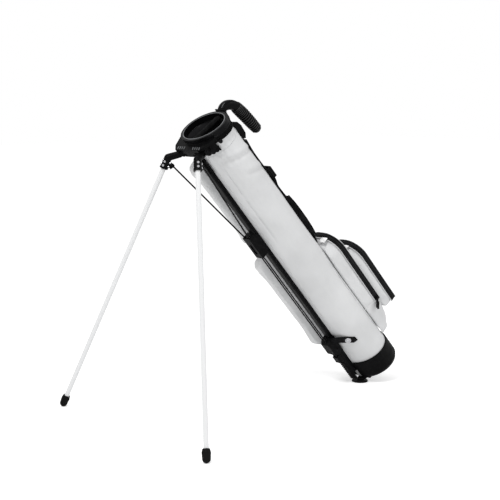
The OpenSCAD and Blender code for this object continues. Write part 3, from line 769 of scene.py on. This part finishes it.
arm_line = spline([(61.5, 0, 863), (63, 0, 874), (70, 0, 881.5), (82, 0, 880),
                   (93, 0, 873.5), (100, 0, 864), (103, 0, 855)], 60)
arm = sweep("handle_elbow", arm_line, Y_AXIS,
            lambda k, t: oval_ring(13 - 1.0 * t, 3.5 + 8.5 * ease(t, 0, 0.6), square=3.2),
            black, slot="black_plastic")
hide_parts("handle_arm")
plate_line = [Vector((61.4, 0, 861.5 + 25 * k / 12)) for k in range(13)]
sweep("handle_plate", plate_line, Y_AXIS, lambda k, t: strap_ring(34, 3.4), black)

# painted highlight lines along the elbow of the handle: light grey tubes where light catches its top edges
for edge in (-6.5, 6.5):
    line = spline([(66, edge, 888), (72, edge, 890.6), (80, edge, 890.3), (88, edge, 887.2)], 24)
    tube_line("handle_highlight_line_" + ("near" if edge < 0 else "far"), line, 0.9, highlight_and_print_grey, side=Y_AXIS)

# ---------- shoulder strap ----------
SPINE = math.radians(-13)


def spine_point(s, out, across=0.0):
    """A point over the body's spine side, a little to the near side of its middle."""
    return Vector(((body_n(s) + out) * math.cos(SPINE), (body_y(s) + out) * math.sin(SPINE) + across, s))


STRAP_SIDE = Vector((-math.sin(SPINE), math.cos(SPINE), 0))
# heights and clearances of the strap along the body, raised where it passes over the buckle
STRAP_ROUTE = ((794, 6), (752, 2.6), (700, 3.4), (684, 8), (656, 8), (636, 3.2), (598, 4))
strap_points = spline([spine_point(s, out) for s, out in STRAP_ROUTE], 70)
strap = sweep("carry_strap", strap_points, STRAP_SIDE,
              lambda k, t: strap_ring(36 - 1.2 * math.sin(6 * t) ** 2, 2.4, -2.4),
              webbing, slot="black_webbing")
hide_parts("shoulder_strap")
tail_points = spline([(66, 0, 452), (66.5, 0, 440), (64, 0, 428), (61.5, 0, 420)], 24)
tail = sweep("carry_strap_tail", tail_points, Y_AXIS, lambda k, t: strap_ring(34, 2.4), webbing,
             slot="black_webbing")
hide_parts("strap_anchor")
for edge in (-1, 1):
    line = [p + STRAP_SIDE * (edge * 14.5) + X_AXIS * (-0.6) for p in strap_points]
    place = "near" if edge < 0 else "far"
    stitches("strap_stitch_" + place, line, [X_AXIS] * len(line), black_thread, 2.6, 4.2, 0.3)
    y = edge * 28.5
    rim = spline([(65, y, 592), (68.5, y, 558), (69.5, y, 510), (68, y, 472), (65, y, 448)], 40)
    tube_line("pad_piping_" + place, rim, 1.5, webbing, side=Y_AXIS)

# ---------- leg strap ----------
flap = spline([(-80, -15.8, 181), (-71, -24.6, 178.5), (-60, -34.3, 170),
               (-49.2, -42.0, 160), (-40, -49.8, 151), (-33, -54.6, 144)], 40)
flap_sides = [Vector((0.25, -0.2, 1))] * len(flap)


def flap_ring(k, t):
    narrow = 1 if t < 0.84 else max(0.12, (1 - t) / 0.16)
    return [(u * narrow, v) for u, v in strap_ring(19, 2.2)]


leg_flap = sweep("leg_flap", flap, flap_sides, flap_ring, webbing, slot="black_webbing")
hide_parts("leg_strap")


def build_snap_cap(around=32):
    """A turned cap over the snap, with a groove; the rings are (radius, height) in mm."""
    rings = ((8.2, -0.6), (8.4, 0.6), (7.4, 1.5), (6.3, 1.3), (5.7, 0.4),
             (4.9, 0.4), (4.3, 1.5), (2.2, 2.2), (0.4, 2.3))
    centre, out = Vector((-51.6, -43.7, 160)), Vector((-0.788, -0.616, 0))
    side = out.cross(Z_AXIS)
    verts = []
    for radius, height in rings:
        for u, v in circle_ring(radius, around):
            verts.append(bag(*(centre + out * height + Z_AXIS * u + side * v)))
    last = (len(rings) - 1) * around
    faces = grid_faces(len(rings), around) + [tuple(range(last, last + around))]
    add_mesh("snap_cap", verts, faces, chrome)


build_snap_cap()

# ---------- collar, divider and stand head details ----------
def oval_loop(half_n, half_y, s, count=160):
    loop = []
    for k in range(count):
        w = 2 * math.pi * k / count
        x = half_n * math.cos(w)
        loop.append(Vector((x, half_y * math.sin(w), s - x * math.tan(TILT))))
    return loop


# a light grey tube round the collar's top edge, a painted highlight along the rim's lip
tube_line("rim_lip_painted_highlight", oval_loop(51.8, 60.2, 889.6), 1.2, highlight_and_print_grey, closed=True, side=Z_AXIS)
tube_line("rim_bead", oval_loop(58.6, 67.0, 877.5), 1.0, rim_black, closed=True, side=Z_AXIS)
tube_line("skirt_bead", oval_loop(57.4, 65.6, 861.8), 0.8, black, closed=True, side=Z_AXIS)

knurl_verts, knurl_faces = [], []
for k in range(132):
    a = 2 * math.pi * k / 132
    for da, out in ((-0.011, 0), (-0.006, 0.9), (0.006, 0.9), (0.011, 0)):
        for ds in (863.6, 872.2):
            x, y = (57.2 + out) * math.cos(a + da), (65.3 + out) * math.sin(a + da)
            knurl_verts.append(bag(x, y, ds - x * math.tan(TILT)))
    b = 8 * k
    knurl_faces += [(b, b + 1, b + 3, b + 2), (b + 2, b + 3, b + 5, b + 4), (b + 4, b + 5, b + 7, b + 6),
                    (b, b + 2, b + 4, b + 6), (b + 1, b + 7, b + 5, b + 3), (b, b + 6, b + 7, b + 1)]
add_mesh("skirt_knurl", knurl_verts, knurl_faces, black, smooth=False)

bar_path = [Vector((t * 0.9945, 0, 878 - 0.1045 * t)) for t in [-49 + 98 * k / 60 for k in range(61)]]


def bar_ring(k, t):
    end = min(1, min(t, 1 - t) / 0.06)
    seam = 1 - 0.10 * bump_at(t, 0.5, 0.02)
    radius = (4.4 + 2.2 * end ** 0.5) * seam
    turns = [2 * math.pi * i / 20 for i in range(20)]
    return [(radius * math.cos(w), radius * (1 - 0.05 * math.cos(2 * w)) * math.sin(w)) for w in turns]


padding = sweep("divider_padding", bar_path, Y_AXIS, bar_ring, mesh_cloth, slot="black_fabric")
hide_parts("divider_bar")

sheet_verts = []
for i in range(41):
    for j in range(17):
        x, s = -47 + 94 * j / 16, 872 - 262 * i / 40
        sheet_verts.append(bag(x, 0.9 * math.sin(x / 11 + i / 9) * i / 40, s - 0.1045 * x))
hanging = add_mesh("divider_cloth", sheet_verts, grid_faces(41, 17, closed_columns=False), mesh_cloth,
                   slot="black_fabric")
thick = hanging.modifiers.new("cloth_thickness", "SOLIDIFY")
thick.thickness = 0.0012
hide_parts("divider_panel")


BOX_FACES = ((0, 1, 2, 3), (4, 5, 6, 7), (0, 1, 5, 4), (1, 2, 6, 5), (2, 3, 7, 6), (3, 0, 4, 7))


def small_bars(name, bars, material):
    """Raised ribs: (centre, half length along its direction, direction, half width, height along z)."""
    verts, faces = [], []
    for centre, half, direction, width, height in bars:
        along = direction.normalized()
        side = Z_AXIS.cross(along).normalized()
        base = len(verts)
        for level, inset in ((0, 0), (height, 0.35)):
            for u, v in ((-1, -1), (1, -1), (1, 1), (-1, 1)):
                q = centre + along * (half - inset) * u + side * (width - inset) * v + Z_AXIS * level
                verts.append(bag(*q))
        for a, b, c, d in BOX_FACES:
            faces.append((base + a, base + b, base + c, base + d))
    return add_mesh(name, verts, faces, material, smooth=False)


far_bars = [(Vector((-70, 14 + 8 * k, 883)), 4.2, Vector((1, 0.35, 0)), 1.3, 1.1) for k in range(4)]
near_bars = [(Vector((-70, -44 + 8 * k, 883)), 4.4, Vector((1, 0.6, 0)), 1.0, 1.2) for k in range(4)]
# the hood ribs are drawn in this light grey, as lettering on the hood
small_bars("hood_ribs", far_bars + near_bars, highlight_and_print_grey)
